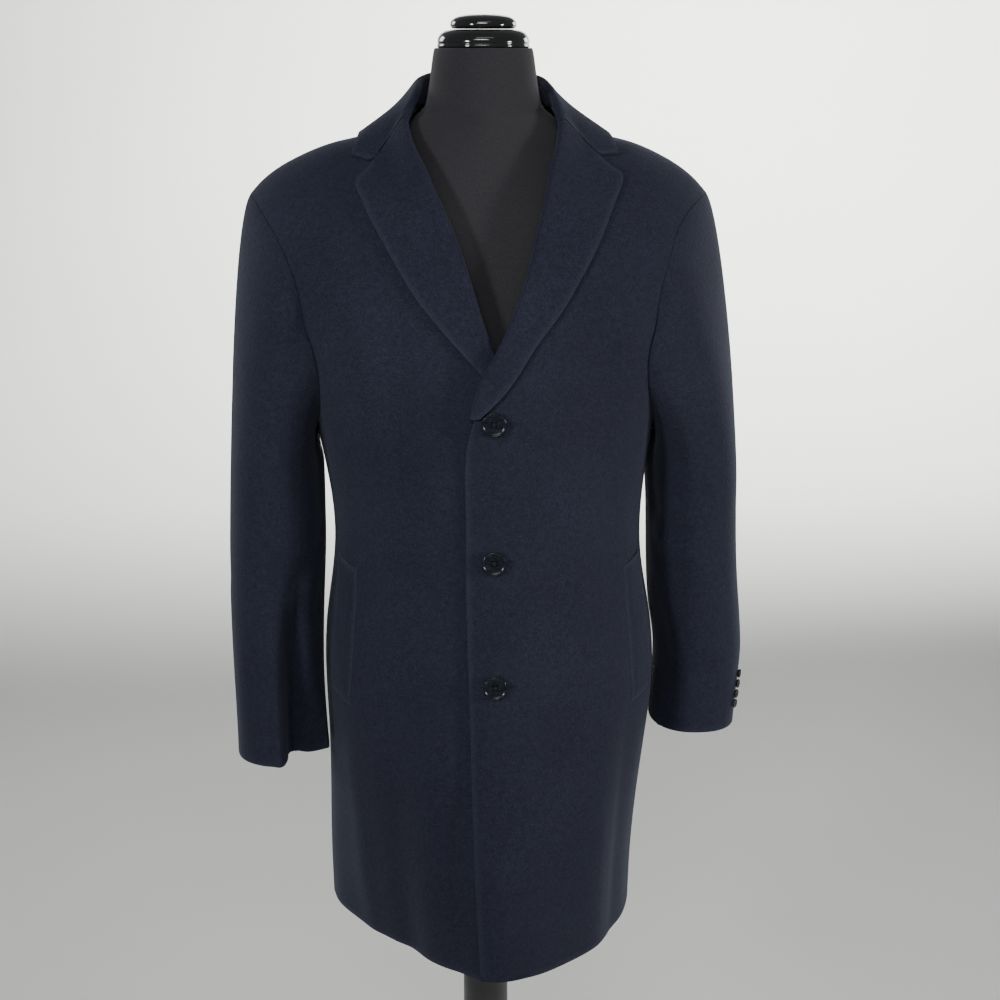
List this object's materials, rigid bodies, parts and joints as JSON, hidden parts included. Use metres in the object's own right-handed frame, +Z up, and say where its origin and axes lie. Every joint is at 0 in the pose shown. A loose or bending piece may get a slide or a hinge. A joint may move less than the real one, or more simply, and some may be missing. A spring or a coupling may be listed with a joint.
{
  "type": "wool overcoat on a limbless dress form",
  "caption": "Man's single-breasted wool overcoat with notched lapels, buttoned on a limbless dress form with a neck cap, pole and round base.",
  "frame": {"origin": "centre of the base's flat underside, on the floor under the pole", "axes": "+Z up along the pole; the coat's front faces -Y; +X is the wearer's left"},
  "size_m": [0.5961, 0.3883, 1.5836],
  "materials": {
    "navy_wool": "napped woollen coating, very dark navy",
    "dark_horn": "polished dark navy resin",
    "black_jersey": "matte black knitted cover",
    "black_gloss": "black lacquer",
    "black_steel": "black powder coat, semi-gloss"
  },
  "bodies": {
    "root": {"left_front": "navy_wool", "right_front": "navy_wool", "left_back": "navy_wool", "right_back": "navy_wool", "left_topsleeve": "navy_wool", "left_undersleeve": "navy_wool", "right_topsleeve": "navy_wool", "right_undersleeve": "navy_wool", "collar_stand": "navy_wool", "collar_fall": "navy_wool", "left_lapel": "navy_wool", "right_lapel": "navy_wool", "left_welt": "navy_wool", "right_welt": "navy_wool", "front_button_1": "dark_horn", "front_button_2": "dark_horn", "front_button_3": "dark_horn", "left_cuff_button_1": "dark_horn", "left_cuff_button_2": "dark_horn", "left_cuff_button_3": "dark_horn", "left_cuff_button_4": "dark_horn", "right_cuff_button_1": "dark_horn", "right_cuff_button_2": "dark_horn", "right_cuff_button_3": "dark_horn", "right_cuff_button_4": "dark_horn", "form_torso": "black_jersey", "neck_cap": "black_gloss", "neck_knob": "black_gloss", "pole": "black_steel", "base": "black_steel"}
  },
  "joints": []
}
